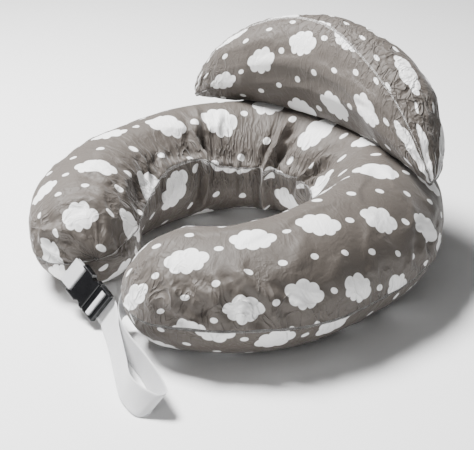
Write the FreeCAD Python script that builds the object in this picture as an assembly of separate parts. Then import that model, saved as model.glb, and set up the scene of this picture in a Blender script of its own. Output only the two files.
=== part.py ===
import FreeCAD, Part
import math
import os

from FreeCAD import Vector

# A nursing pillow: a stuffed U-shaped ring with a half-moon bolster standing on its back
# and a webbing strap with a side-release buckle across its front gap.
# Millimetres, +Z up, +Y towards the bolster. Built about the centre of the back arc, then
# moved along Y so that the origin is under the middle of the whole object's box.
ORIGIN_SHIFT_Y = 33.7

# Ring: the middle line of the tube, seen from above
BACK_RADIUS = 194.0          # back half circle
ARM_STRAIGHT = 59.0          # straight stretch of each arm
FRONT_RADIUS = 165.0         # front arc that brings the tips together
FRONT_TURN = 64.0            # degrees turned by the front arc
NOSE_LENGTH = 71.0           # rounded end of each arm

# Ring: the tube's cross-section
TUBE_HALF_WIDTH = 92.0
TUBE_HALF_HEIGHT = 88.0
TUBE_CENTRE_Z = 84.0         # the bottom is pressed flat on the floor
TIP_SCALE = 0.83             # the tube thins towards the tips
TAPER_START = 0.43           # share of the arm where the thinning starts
PANEL_SEAM_Z = 66.0          # height of the seam between upper and lower cover panels

# Bolster: a half-moon cushion bent along the ring's back, built on its curved base line
BOLSTER_HALF_LENGTH = 259.0
BOLSTER_HEIGHT = 160.0
BOLSTER_THICKNESS = 96.0
BOLSTER_END_FULLNESS = 1.25  # how much later the thickness tapers than the height
BOLSTER_BEND_RADIUS = 400.0
BOLSTER_LEAN = 9.0           # degrees that its top leans over the opening
BOLSTER_BASE_Y = 197.0
BOLSTER_BASE_Z = 175.4
BOLSTER_DROOP = 20.0         # how far its ends hang over the ring's shoulders
DROOP_START = 110.0

# Fabric layers
COVER = 1.2
CASING = 0.8
LAYER_GAP = 0.3
TOUCH_GAP = 0.1

# Hook-and-loop patches between ring and bolster
PATCH_AT = 105.0             # along the bolster's base line
PATCH_SET_BACK = 6.0
PATCH_LENGTH = 50.0
PATCH_WIDTH = 25.0
PATCH_THICKNESS = 1.2

# Zip fasteners
TAPE_THICKNESS = 0.6
TAPE_WIDTH = 11.0
COIL_WIDTH = 4.0
COIL_THICKNESS = 1.8
ZIP_STAND_OFF = 0.8
RING_ZIP_HALF_ANGLE = 38.0   # degrees each side of the back's middle
RING_SLIDER_ANGLE = 35.0
BOLSTER_ZIP_HALF_ANGLE = 11.5
BOLSTER_SLIDER_ANGLE = 10.2
BOLSTER_ZIP_UP = 40.0        # height of the zip above the bolster's base line
BOLSTER_COIL_SWAY = 1.2      # how much the back wall's radius varies along the zip
STOP_INSET_ANGLE = 1.2
STOP_LENGTH = 2.0
STOP_THICKNESS = 0.8
STOP_OVERHANG = 0.75
SLIDER_LENGTH = 9.0
SLIDER_HEIGHT = 11.0
SLIDER_THICKNESS = 2.0
SLIDER_EDGE = 0.7
BAIL_DEPTH = 4.0
BAIL_WIDTH = 2.0
BAIL_HEIGHT = 6.0
BAIL_SUNK = 0.5
EYE_FROM_TOP = 2.0
PULL_LENGTH = 17.0
PULL_WIDTH = 6.0
PULL_THICKNESS = 1.4
PULL_CHEEK = 1.2
PULL_WINDOW = 7.0
PULL_CORNER = 2.2
PIN_RADIUS = 0.7
EYE_RADIUS = 1.05

# Side-release buckle, in its own frame: x from socket to plug, y across, z out of its face
BUCKLE_AT = Vector(-12.0, -269.0, 40.0)
BUCKLE_DIP = 23.6            # degrees that the plug end hangs lower
BUCKLE_TIP = 31.0            # degrees that the face looks upwards
BUCKLE_HALF_LENGTH = 31.0
BUCKLE_HALF_WIDTH = 23.0
BUCKLE_HALF_THICKNESS = 5.5
SOCKET_MOUTH_X = 8.0
CAVITY_HALF_WIDTH = 19.0
CAVITY_HALF_HEIGHT = 3.0
CAVITY_BACK_X = -17.5
WEB_SLOT_X = -21.5           # front wall of the socket's webbing slot
WEB_SLOT_CLEARANCE = 0.6
SOCKET_EDGE = 2.6
WINDOW_X = -4.0
WINDOW_RADIUS = 6.5
WINDOW_OUTSET = 1.5
PLUG_EDGE = 2.4
PLUG_THINNER = 0.5
PLUG_SHOULDER_GAP = 0.4
PLUG_SLOTS = ((14.0, 17.5), (21.5, 25.0))
GUIDE_TIP_X = -12.0
GUIDE_HALF_WIDTH = 3.0
GUIDE_HALF_HEIGHT = 2.0
SOCKET_BAR_X = -28.0
BAR_RADIUS = 1.9
SOCKET_WEB_REACH = 19.0
ARM_LENGTH = 20.0
ARM_HALF_THICKNESS = 2.2

# Webbing
WEB_WIDTH = 38.0
WEB_THICKNESS = 1.3
WRAP_X = 19.5                # middle of the adjuster bar, inside the stretch wound over it
WRAP_HALF_LENGTH = 3.4
WRAP_HALF_INSIDE = 2.1
WRAP_STAND_OFF = 0.9
WRAP_EDGE = 1.5


def ring_point(distance):
    """Point and heading on the middle line, at a signed distance from the back's middle."""
    side = -1.0 if distance < 0 else 1.0
    s = abs(distance)
    quarter = BACK_RADIUS * math.pi / 2
    front = FRONT_RADIUS * math.radians(FRONT_TURN)
    if s <= quarter:
        a = s / BACK_RADIUS
        x, y = BACK_RADIUS * math.sin(a), BACK_RADIUS * math.cos(a)
        hx, hy = math.cos(a), -math.sin(a)
    elif s <= quarter + ARM_STRAIGHT:
        x, y = BACK_RADIUS, quarter - s
        hx, hy = 0.0, -1.0
    else:
        over = s - quarter - ARM_STRAIGHT
        a = min(over, front) / FRONT_RADIUS
        past = max(over - front, 0.0)
        hx, hy = -math.sin(a), -math.cos(a)
        x = BACK_RADIUS - FRONT_RADIUS * (1 - math.cos(a)) + hx * past
        y = -ARM_STRAIGHT - FRONT_RADIUS * math.sin(a) + hy * past
    return Vector(side * x, y, 0), Vector(hx, side * hy, 0)


def nose_start():
    """Distance from the back's middle to where an arm starts to round off."""
    return BACK_RADIUS * math.pi / 2 + ARM_STRAIGHT + FRONT_RADIUS * math.radians(FRONT_TURN)


def ring_section(distance, inset):
    """Ellipse across the tube, every side inset by the same amount."""
    full = nose_start() + NOSE_LENGTH
    share = abs(distance) / full
    thin = 1 - (1 - TIP_SCALE) * max(0.0, (share - TAPER_START) / (1 - TAPER_START))
    past = max(0.0, (abs(distance) - nose_start()) / (NOSE_LENGTH - inset))
    rounding = math.sqrt(max(0.0, 1 - past * past))
    half_width = (TUBE_HALF_WIDTH * thin - inset) * rounding
    half_height = (TUBE_HALF_HEIGHT * thin - inset) * rounding
    at, heading = ring_point(distance)
    outward = Vector(-heading.y, heading.x, 0)
    turn = FreeCAD.Rotation(outward, Vector(0, 0, 1), heading, "XYZ")
    centre = at + Vector(0, 0, TUBE_CENTRE_Z * thin)
    edge = Part.Ellipse(Vector(0, 0, 0), half_width, half_height).toShape()
    edge.Placement = FreeCAD.Placement(centre, turn)
    return Part.Wire([edge])


def ring_stations(inset):
    """Distances of the tube's sections, closer together at the rounded ends."""
    start = nose_start()
    count = 22
    along = [start * i / count for i in range(count + 1)]
    nose = [start + (NOSE_LENGTH - inset) * p for p in (0.22, 0.42, 0.6, 0.75, 0.87, 0.95, 0.985)]
    half = along + nose
    return [-d for d in reversed(half[1:])] + half


def ring_body(inset):
    """The stuffed ring, inset from its outer skin and flat where it lies on the floor."""
    tube = Part.makeLoft([ring_section(d, inset) for d in ring_stations(inset)], True, True)
    floor = Part.makeBox(1000, 1000, 50, Vector(-500, -500, max(inset, 0.0) - 50))
    return tube.cut(floor)


def band(low, high):
    """A slab as wide as the object between two heights."""
    return Part.makeBox(1000, 1000, high - low, Vector(-500, -500, low))


def bolster_centre_y():
    return BOLSTER_BASE_Y - BOLSTER_BEND_RADIUS


def bolster_line(distance):
    """Point on the bolster's base line, at a signed distance from its middle, and the way out."""
    a = distance / BOLSTER_BEND_RADIUS
    outward = Vector(math.sin(a), math.cos(a), 0)
    hang = max(0.0, (abs(distance) - DROOP_START) / (BOLSTER_HALF_LENGTH - DROOP_START))
    middle = Vector(0, bolster_centre_y(), BOLSTER_BASE_Z - BOLSTER_DROOP * hang ** 2)
    return middle + outward * BOLSTER_BEND_RADIUS, outward


def bolster_section(distance, inset, side):
    """Ellipse across the bolster, or its half in front of (-1) or behind (+1) the rim seam."""
    share = abs(distance) / (BOLSTER_HALF_LENGTH - inset)
    rounding = math.sqrt(max(0.0, 1 - share * share))
    half_height = (BOLSTER_HEIGHT / 2 - inset) * rounding
    half_thickness = (BOLSTER_THICKNESS / 2 - inset) * min(1.0, BOLSTER_END_FULLNESS * rounding)
    at, outward = bolster_line(distance)
    lean = math.radians(BOLSTER_LEAN)
    up = Vector(0, 0, 1) * math.cos(lean) - outward * math.sin(lean)
    out = (outward * math.cos(lean) + Vector(0, 0, 1) * math.sin(lean)) * (side or 1)
    ellipse = Part.Ellipse(Vector(0, 0, 0), half_height, half_thickness)
    edges = [ellipse.toShape()]
    if side:
        seam = Part.makeLine(Vector(-half_height, 0, 0), Vector(half_height, 0, 0))
        edges = [Part.ArcOfEllipse(ellipse, 0, math.pi).toShape(), seam]
    wire = Part.Wire(edges)
    turn = FreeCAD.Rotation(up, out, up.cross(out), "XYZ")
    wire.Placement = FreeCAD.Placement(at + up * (inset + half_height), turn)
    return wire


def bolster_stations(inset):
    """Distances of the bolster's sections, closer together towards its ends."""
    half = [math.sin(math.radians(8 * i)) for i in range(11)] + [0.998]
    half = [(BOLSTER_HALF_LENGTH - inset) * p for p in half]
    return [-d for d in reversed(half[1:])] + half


def bolster_body(inset, side=0):
    """The stuffed bolster, or its half on one side of the rim seam, inset from its outer skin."""
    return Part.makeLoft([bolster_section(d, inset, side) for d in bolster_stations(inset)], True, True)


def placed(shape, placement):
    """A copy of the shape, moved as a whole."""
    moved = shape.copy()
    moved.Placement = placement.multiply(moved.Placement)
    return moved


def rounded(shape, radius):
    """The shape with every edge rounded."""
    return shape.makeFillet(radius, shape.Edges)


def centred_box(x0, x1, half_y, half_z):
    """A box between two x values, centred on y and z."""
    return Part.makeBox(x1 - x0, 2 * half_y, 2 * half_z, Vector(x0, -half_y, -half_z))


def ribbon(stations):
    """A flat band through (point, width direction) stations."""
    wires = []
    count = len(stations)
    for i, (point, width) in enumerate(stations):
        before = stations[max(i - 1, 0)][0]
        after = stations[min(i + 1, count - 1)][0]
        heading = (after - before).normalize()
        across = Vector(width).normalize()
        out = heading.cross(across).normalize()
        a = across * (WEB_WIDTH / 2)
        b = out * (WEB_THICKNESS / 2)
        corners = [point + a + b, point - a + b, point - a - b, point + a - b]
        wires.append(Part.makePolygon(corners + corners[:1]))
    return Part.makeLoft(wires, True, True)


# ---- ring ----

def ring_cover():
    return ring_body(0).cut(ring_body(COVER))


def ring_cover_upper(cover):
    return cover.common(band(PANEL_SEAM_Z + TOUCH_GAP, 400))


def ring_cover_lower(cover):
    return cover.common(band(-10, PANEL_SEAM_Z))


def ring_casing():
    outer = COVER + LAYER_GAP
    return ring_body(outer).cut(ring_body(outer + CASING))


def ring_filling():
    return ring_body(COVER + CASING + 2 * LAYER_GAP)


def back_sector(half_angle, centre_y):
    """Wedge behind a point on the middle plane, within an angle of straight back."""
    reach = 900.0
    a = math.radians(half_angle)
    tip = Vector(0, centre_y, -10)
    left = tip + Vector(-math.sin(a), math.cos(a), 0) * reach
    right = tip + Vector(math.sin(a), math.cos(a), 0) * reach
    middle = tip + Vector(0, reach * 1.5, 0)
    face = Part.Face(Part.makePolygon([tip, right, middle, left, tip]))
    return face.extrude(Vector(0, 0, 400))


def zip_tapes(skin, seam_z):
    """The two strips of a thin skin just below and just above the zip's coil."""
    half = COIL_WIDTH / 2 + LAYER_GAP
    lower = skin.common(band(seam_z - half - TAPE_WIDTH, seam_z - half))
    upper = skin.common(band(seam_z + half, seam_z + half + TAPE_WIDTH))
    return Part.makeCompound([lower, upper])


def zip_stops(centre_y, radius, seam_z, half_angle):
    """A small metal clip over each end of a coil that runs round a vertical axis."""
    height = COIL_WIDTH + 2 * STOP_OVERHANG
    clips = []
    for side in (-1, 1):
        clip = Part.makeBox(STOP_LENGTH, STOP_THICKNESS, height, Vector(-STOP_LENGTH / 2, 0, -height / 2))
        clips.append(placed(clip, zip_place(centre_y, radius, seam_z, side * half_angle)))
    return Part.makeCompound(clips)


def zip_place(centre_y, radius, seam_z, angle):
    """On a zip that runs round a vertical axis, at an angle towards -X from straight back."""
    a = math.radians(angle)
    at = Vector(-radius * math.sin(a), centre_y + radius * math.cos(a), seam_z)
    return FreeCAD.Placement(at, FreeCAD.Rotation(Vector(0, 0, 1), angle))


def ring_wall_radius():
    """Distance from the back arc's axis to the outer wall at the panel seam."""
    rise = (PANEL_SEAM_Z - TUBE_CENTRE_Z) / TUBE_HALF_HEIGHT
    return BACK_RADIUS + TUBE_HALF_WIDTH * math.sqrt(1 - rise * rise)


def ring_zip_tapes():
    skin = ring_body(-TOUCH_GAP - TAPE_THICKNESS).cut(ring_body(-TOUCH_GAP))
    skin = skin.common(back_sector(RING_ZIP_HALF_ANGLE, 0.0))
    inside = Part.makeCylinder(BACK_RADIUS, 400, Vector(0, 0, -10))
    return zip_tapes(skin.cut(inside), PANEL_SEAM_Z)


def ring_coil_radius():
    return ring_wall_radius() + ZIP_STAND_OFF


def ring_zip_coil():
    corner = Vector(ring_coil_radius(), 0, PANEL_SEAM_Z - COIL_WIDTH / 2)
    profile = Part.makePlane(COIL_THICKNESS, COIL_WIDTH, corner, Vector(0, -1, 0), Vector(1, 0, 0))
    turn = 2 * (RING_ZIP_HALF_ANGLE - 1)
    profile.rotate(Vector(0, 0, 0), Vector(0, 0, 1), 90 - turn / 2)
    return profile.revolve(Vector(0, 0, 0), Vector(0, 0, 1), turn)


def zip_slider():
    """Slider in its own frame: the coil runs along x, y points out, z up; y 0 is the coil's face."""
    plate = Part.makeBox(SLIDER_LENGTH, SLIDER_THICKNESS, SLIDER_HEIGHT,
                         Vector(-SLIDER_LENGTH / 2, 0, -SLIDER_HEIGHT / 2))
    plate = rounded(plate, SLIDER_EDGE)
    foot = Vector(-BAIL_WIDTH / 2, SLIDER_THICKNESS - BAIL_SUNK, -BAIL_HEIGHT / 3)
    bail = Part.makeBox(BAIL_WIDTH, BAIL_DEPTH, BAIL_HEIGHT, foot)
    eye = Part.makeCylinder(EYE_RADIUS, 10, bail_eye() + Vector(-5, 0, 0), Vector(1, 0, 0))
    return plate.fuse(bail).cut(eye)


def bail_eye():
    """Middle of the bail's hole in the slider's frame."""
    return Vector(0, SLIDER_THICKNESS - BAIL_SUNK + BAIL_DEPTH - EYE_FROM_TOP, 0)


def zip_pull():
    """Pull that hangs from the bail: a pin through the eye, two cheeks and a tab."""
    at = bail_eye()
    half = PULL_WIDTH / 2
    pin = Part.makeCylinder(PIN_RADIUS, PULL_WIDTH, at + Vector(-half, 0, 0), Vector(1, 0, 0))
    plate = Part.makeBox(PULL_WIDTH, PULL_THICKNESS, PULL_LENGTH,
                         at + Vector(-half, -PULL_THICKNESS / 2, PIN_RADIUS - PULL_LENGTH))
    corners = [e for e in plate.Edges if abs(e.Vertexes[0].Y - e.Vertexes[-1].Y) > 1
               and e.Vertexes[0].Z < 0]
    plate = plate.makeFillet(PULL_CORNER, corners)
    window = Part.makeBox(PULL_WIDTH - 2 * PULL_CHEEK, 10, PULL_WINDOW,
                          at + Vector(PULL_CHEEK - half, -5, 1.5 - PULL_WINDOW))
    return plate.cut(window).fuse(pin)


def ring_slider_place():
    """On the back wall, at the closed end of the zip."""
    radius = ring_coil_radius() + COIL_THICKNESS + LAYER_GAP
    return zip_place(0.0, radius, PANEL_SEAM_Z, RING_SLIDER_ANGLE)


def ring_zip_stops():
    radius = ring_coil_radius() + COIL_THICKNESS + TOUCH_GAP
    return zip_stops(0.0, radius, PANEL_SEAM_Z, RING_ZIP_HALF_ANGLE - STOP_INSET_ANGLE)


# ---- hook-and-loop patches ----

def patches(bottom, top):
    """Two patches under the bolster's base line between two heights above the ring's skin."""
    skin = ring_body(-top).cut(ring_body(-bottom))
    pads = []
    for side in (-1, 1):
        at, outward = bolster_line(side * PATCH_AT)
        at = at + outward * PATCH_SET_BACK
        corner = Vector(at.x - PATCH_LENGTH / 2, at.y - PATCH_WIDTH / 2, BOLSTER_BASE_Z - 50)
        pads.append(skin.common(Part.makeBox(PATCH_LENGTH, PATCH_WIDTH, 100, corner)))
    return Part.makeCompound(pads)


def hook_patches():
    return patches(TOUCH_GAP, TOUCH_GAP + PATCH_THICKNESS)


def loop_patches():
    low = TOUCH_GAP + PATCH_THICKNESS + LAYER_GAP
    return patches(low, low + PATCH_THICKNESS)


# ---- bolster ----

def bolster_cover_front():
    return bolster_body(0, -1).cut(bolster_body(COVER))


def bolster_cover_back():
    return bolster_body(0, 1).cut(bolster_body(COVER))


def bolster_casing():
    outer = COVER + LAYER_GAP
    return bolster_body(outer).cut(bolster_body(outer + CASING))


def bolster_filling():
    return bolster_body(COVER + CASING + 2 * LAYER_GAP)


def bolster_zip_z():
    return BOLSTER_BASE_Z + BOLSTER_ZIP_UP


def bolster_wall_radius():
    """Distance from the bend's axis to the back panel's middle at the zip's height."""
    lean = math.radians(BOLSTER_LEAN)
    tall = BOLSTER_HEIGHT / 2 * math.cos(lean)
    tilt = BOLSTER_THICKNESS / 2 * math.sin(lean)
    reach = math.hypot(tall, tilt)
    a = math.asin((BOLSTER_ZIP_UP - tall) / reach) - math.atan2(tilt, tall)
    up = BOLSTER_HEIGHT / 2 * (1 + math.sin(a))
    out = BOLSTER_THICKNESS / 2 * math.cos(a)
    return BOLSTER_BEND_RADIUS + out * math.cos(lean) - up * math.sin(lean)


def bolster_zip_skin(inner, outer):
    """The space between two distances off the back panel, as long as the zip."""
    skin = bolster_body(-outer).cut(bolster_body(-inner))
    front = Part.makeCylinder(BOLSTER_BEND_RADIUS + TAPE_WIDTH, 500, Vector(0, bolster_centre_y(), -10))
    return skin.cut(front).common(back_sector(BOLSTER_ZIP_HALF_ANGLE, bolster_centre_y()))


def bolster_zip_tapes():
    return zip_tapes(bolster_zip_skin(TOUCH_GAP, TOUCH_GAP + TAPE_THICKNESS), bolster_zip_z())


def bolster_zip_coil():
    half = COIL_WIDTH / 2
    skin = bolster_zip_skin(ZIP_STAND_OFF, ZIP_STAND_OFF + COIL_THICKNESS)
    return skin.common(band(bolster_zip_z() - half, bolster_zip_z() + half))


def bolster_slider_radius():
    return bolster_wall_radius() + ZIP_STAND_OFF + COIL_THICKNESS + BOLSTER_COIL_SWAY


def bolster_slider_place():
    """Behind the back panel, at the closed end of the zip."""
    return zip_place(bolster_centre_y(), bolster_slider_radius() + LAYER_GAP, bolster_zip_z(),
                     BOLSTER_SLIDER_ANGLE)


def bolster_zip_stops():
    return zip_stops(bolster_centre_y(), bolster_slider_radius(), bolster_zip_z(),
                     BOLSTER_ZIP_HALF_ANGLE - STOP_LENGTH / 10)


# ---- buckle ----

def buckle_place():
    dip = math.radians(BUCKLE_DIP)
    tip = math.radians(BUCKLE_TIP)
    along = Vector(math.cos(dip), 0, -math.sin(dip))
    across = Vector(math.sin(dip), 0, math.cos(dip)) * math.cos(tip) + Vector(0, 1, 0) * math.sin(tip)
    out = along.cross(across)
    return FreeCAD.Placement(BUCKLE_AT, FreeCAD.Rotation(along, across, out, "XYZ"))


def buckle_socket():
    """Socket shell: webbing bar, body with an open mouth, and a window in each side."""
    body = centred_box(-BUCKLE_HALF_LENGTH, SOCKET_MOUTH_X, BUCKLE_HALF_WIDTH, BUCKLE_HALF_THICKNESS)
    body = rounded(body, SOCKET_EDGE)
    web_half = WEB_WIDTH / 2
    opening = centred_box(-BUCKLE_HALF_LENGTH - 5, WEB_SLOT_X, web_half + WEB_SLOT_CLEARANCE, 20)
    cavity = centred_box(CAVITY_BACK_X, SOCKET_MOUTH_X + 5, CAVITY_HALF_WIDTH, CAVITY_HALF_HEIGHT)
    bar_half = web_half + 2
    bar = Part.makeCylinder(BAR_RADIUS, 2 * bar_half, Vector(SOCKET_BAR_X, -bar_half, 0), Vector(0, 1, 0))
    body = body.cut(opening).cut(cavity).fuse(bar)
    for side in (-1, 1):
        at = Vector(WINDOW_X, side * (BUCKLE_HALF_WIDTH + WINDOW_OUTSET), -20)
        body = body.cut(Part.makeCylinder(WINDOW_RADIUS, 40, at))
    return body


def buckle_plug():
    """Plug frame: centre guide, shoulder, adjuster bar and end bar with two webbing slots."""
    shoulder = SOCKET_MOUTH_X + PLUG_SHOULDER_GAP
    half_thickness = BUCKLE_HALF_THICKNESS - PLUG_THINNER
    frame = centred_box(shoulder, BUCKLE_HALF_LENGTH, BUCKLE_HALF_WIDTH, half_thickness)
    frame = rounded(frame, PLUG_EDGE)
    for x0, x1 in PLUG_SLOTS:
        frame = frame.cut(centred_box(x0, x1, WEB_WIDTH / 2 + WEB_SLOT_CLEARANCE, 20))
    guide = centred_box(GUIDE_TIP_X, shoulder + 2, GUIDE_HALF_WIDTH, GUIDE_HALF_HEIGHT)
    return frame.fuse(guide)


def release_arm(side):
    """Springy arm beside the guide, with a broad head that shows in the socket's window."""
    root = SOCKET_MOUTH_X - 0.4
    points = [(root, 12.6), (root, 16.0), (root - 8.0, 16.4), (root - 9.0, 18.5),
              (root - 15.0, 18.5), (root - ARM_LENGTH, 15.0), (root - ARM_LENGTH, 12.0),
              (root - 12.0, 12.6)]
    outline = [Vector(x, side * y, -ARM_HALF_THICKNESS) for x, y in points]
    face = Part.Face(Part.makePolygon(outline + outline[:1]))
    return face.extrude(Vector(0, 0, 2 * ARM_HALF_THICKNESS))


def socket_webbing():
    """Short loop sewn to the left tip and passed round the socket's bar."""
    inner_r = BAR_RADIUS + TOUCH_GAP
    half = WEB_WIDTH / 2
    reach = Vector(SOCKET_BAR_X - SOCKET_WEB_REACH, -half, 0)
    solids = []
    for r in (inner_r + WEB_THICKNESS, inner_r):
        bend = Part.makeCylinder(r, WEB_WIDTH, Vector(SOCKET_BAR_X, -half, 0), Vector(0, 1, 0))
        run = Part.makeBox(SOCKET_WEB_REACH, WEB_WIDTH, 2 * r, reach - Vector(0, 0, r))
        solids.append(bend.fuse(run))
    return solids[0].cut(solids[1])


# ---- strap ----

def strap_stations():
    """Middle of the strap from the plug, out along the floor, round and back to the right tip.

    Each station is x, y, z and the direction across the webbing.
    """
    rows = [
        (8.6, -263.3, 27.2, 0.34, 0.52, 0.79),
        (15.0, -263.3, 24.4, 0.34, 0.52, 0.79),
        (24.0, -265.5, 22.6, 0.37, 0.48, 0.80),
        (38.0, -273.5, 23.0, 0.42, 0.38, 0.82),
        (64.0, -288.5, 23.2, 0.48, 0.22, 0.85),
        (92.0, -303.5, 21.4, 0.45, 0.19, 0.87),
        (129.0, -324.0, 19.6, 0.39, 0.22, 0.90),
        (161.0, -341.5, 18.5, 0.32, 0.24, 0.92),
        (186.0, -346.0, 17.6, 0.36, 0.36, 0.86),
        (202.0, -344.0, 16.2, 0.38, 0.50, 0.78),
        (209.5, -338.5, 16.0, 0.38, 0.52, 0.76),
        (210.0, -331.0, 16.6, 0.36, 0.46, 0.81),
        (203.0, -324.5, 17.9, 0.30, 0.34, 0.89),
        (185.0, -315.5, 19.0, 0.18, 0.22, 0.96),
        (150.0, -303.5, 19.6, 0.08, 0.14, 0.99),
        (112.0, -294.0, 20.2, 0.04, 0.10, 0.99),
        (82.0, -285.0, 22.0, 0.02, 0.06, 1.00),
        (60.0, -274.0, 27.0, 0.00, 0.02, 1.00),
        (46.0, -262.5, 33.0, 0.00, 0.00, 1.00),
        (40.0, -252.5, 38.5, 0.00, 0.00, 1.00),
        (41.8, -246.1, 41.0, 0.00, 0.00, 1.00),
    ]
    return [(Vector(x, y, z), Vector(a, b, c)) for x, y, z, a, b, c in rows]


def strap_webbing():
    return ribbon(strap_stations())


def adjuster_webbing():
    """The stretch of strap wound over the plug's adjuster bar."""
    half = WEB_WIDTH / 2
    over = BUCKLE_HALF_THICKNESS + WRAP_STAND_OFF
    outer = centred_box(WRAP_X - WRAP_HALF_LENGTH, WRAP_X + WRAP_HALF_LENGTH, half, over)
    outer = outer.makeFillet(WRAP_EDGE, [e for e in outer.Edges if abs(e.tangentAt(0).y) > 0.9])
    inner = centred_box(WRAP_X - WRAP_HALF_INSIDE, WRAP_X + WRAP_HALF_INSIDE, half + 5, over - WEB_THICKNESS)
    return outer.cut(inner)


def main():
    os.makedirs("parts", exist_ok=True)
    cover = ring_cover()
    buckle = buckle_place()
    ring_slider = ring_slider_place()
    bolster_slider = bolster_slider_place()
    nodes = {
        "ring_cover_upper": ring_cover_upper(cover),
        "ring_cover_lower": ring_cover_lower(cover),
        "ring_inner_casing": ring_casing(),
        "ring_filling": ring_filling(),
        "ring_zip_tapes": ring_zip_tapes(),
        "ring_zip_coil": ring_zip_coil(),
        "ring_zip_stops": ring_zip_stops(),
        "ring_zip_slider": placed(zip_slider(), ring_slider),
        "ring_zip_pull": placed(zip_pull(), ring_slider),
        "hook_patches": hook_patches(),
        "loop_patches": loop_patches(),
        "bolster_cover_front": bolster_cover_front(),
        "bolster_cover_back": bolster_cover_back(),
        "bolster_inner_casing": bolster_casing(),
        "bolster_filling": bolster_filling(),
        "bolster_zip_tapes": bolster_zip_tapes(),
        "bolster_zip_coil": bolster_zip_coil(),
        "bolster_zip_stops": bolster_zip_stops(),
        "bolster_zip_slider": placed(zip_slider(), bolster_slider),
        "bolster_zip_pull": placed(zip_pull(), bolster_slider),
        "socket_webbing": placed(socket_webbing(), buckle),
        "buckle_socket": placed(buckle_socket(), buckle),
        "buckle_plug": placed(buckle_plug(), buckle),
        "release_arm_upper": placed(release_arm(1), buckle),
        "release_arm_lower": placed(release_arm(-1), buckle),
        "adjuster_webbing": placed(adjuster_webbing(), buckle),
        "strap_webbing": strap_webbing(),
    }
    shift = FreeCAD.Placement(Vector(0, ORIGIN_SHIFT_Y, 0), FreeCAD.Rotation())
    for name, shape in nodes.items():
        final = placed(shape, shift)
        final.exportStep(f"parts/{name}.step")
        box = final.BoundBox
        sides = (box.XMin, box.XMax, box.YMin, box.YMax, box.ZMin, box.ZMax)
        print(name, final.isValid(), len(final.Solids), round(final.Volume, 1), [round(v, 1) for v in sides])


main()
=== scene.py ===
import math

import bpy
import numpy as np
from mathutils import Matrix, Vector
from mathutils.bvhtree import BVHTree


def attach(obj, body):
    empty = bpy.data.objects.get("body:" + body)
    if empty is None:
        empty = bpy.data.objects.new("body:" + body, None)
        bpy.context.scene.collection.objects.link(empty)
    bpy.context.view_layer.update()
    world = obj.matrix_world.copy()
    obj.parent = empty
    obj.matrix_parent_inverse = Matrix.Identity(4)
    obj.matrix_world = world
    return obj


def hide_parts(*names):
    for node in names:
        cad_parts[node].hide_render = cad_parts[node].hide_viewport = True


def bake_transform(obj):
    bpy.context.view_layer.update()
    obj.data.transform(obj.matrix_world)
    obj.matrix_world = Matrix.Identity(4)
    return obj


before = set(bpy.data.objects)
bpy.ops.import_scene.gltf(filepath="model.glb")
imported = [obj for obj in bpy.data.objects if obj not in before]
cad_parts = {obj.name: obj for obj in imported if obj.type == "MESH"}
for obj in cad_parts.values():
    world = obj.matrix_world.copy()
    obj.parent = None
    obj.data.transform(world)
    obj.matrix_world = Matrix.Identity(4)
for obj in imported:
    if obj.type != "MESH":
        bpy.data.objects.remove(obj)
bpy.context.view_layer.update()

# The ring's middle line and section, in metres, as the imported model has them
SHIFT_Y = 0.0337                # the back arc's centre in the row frame
BACK_RADIUS = 0.194
ARM_STRAIGHT = 0.059
FRONT_RADIUS = 0.165
FRONT_TURN = math.radians(64.0)
NOSE_LENGTH = 0.071
HALF_WIDTH = 0.092
HALF_HEIGHT = 0.088
CENTRE_Z = 0.084
TIP_SCALE = 0.83
TAPER_START = 0.43
BACK_QUARTER = BACK_RADIUS * math.pi / 2
NOSE_START = BACK_QUARTER + ARM_STRAIGHT + FRONT_RADIUS * FRONT_TURN

# The bolster: bent along the ring's back, built on its curved base line
BOLSTER_HALF_LENGTH = 0.259
BOLSTER_HEIGHT = 0.160
BOLSTER_THICKNESS = 0.096
BOLSTER_END_FULLNESS = 1.25
BOLSTER_BEND_RADIUS = 0.400
BOLSTER_LEAN = math.radians(9.0)
BOLSTER_BASE_Y = 0.197 + SHIFT_Y
BOLSTER_BASE_Z = 0.1754
BOLSTER_DROOP = 0.007
DROOP_START = 0.110

PRINT_TURN = math.radians(47.56)    # direction of the clouds' long side on the flat cloth
BOLSTER_PRINT_STRETCH = 0.14    # share by which the bolster's print is drawn longer at its right
BOLSTER_SAG = 0.006             # how far the front of the bolster's base settles on to the ring
SEAM_GROOVE = 0.0020
FLOOR_HALF_WIDTH = 9.0

COTTON_DARK = (0.064, 0.053, 0.044, 1)
COTTON_LIGHT = (0.086, 0.072, 0.061, 1)
PRINT_DARK = (0.80, 0.795, 0.79, 1)
PRINT_LIGHT = (0.90, 0.90, 0.895, 1)
WEBBING_DARK = (0.52, 0.52, 0.53, 1)
WEBBING_LIGHT = (0.64, 0.64, 0.65, 1)
WEAVE_PITCH = 0.0011            # threads of the cotton

CAMERA_AZIMUTH = math.radians(47.56)
CAMERA_ELEVATION = math.radians(25.79)
CAMERA_DISTANCE = 1.4415
CAMERA_TARGET = (0.0, 0.0144, 0.092)

WEB_WIDTH = 0.038
WEB_THICKNESS = 0.0013


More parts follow.
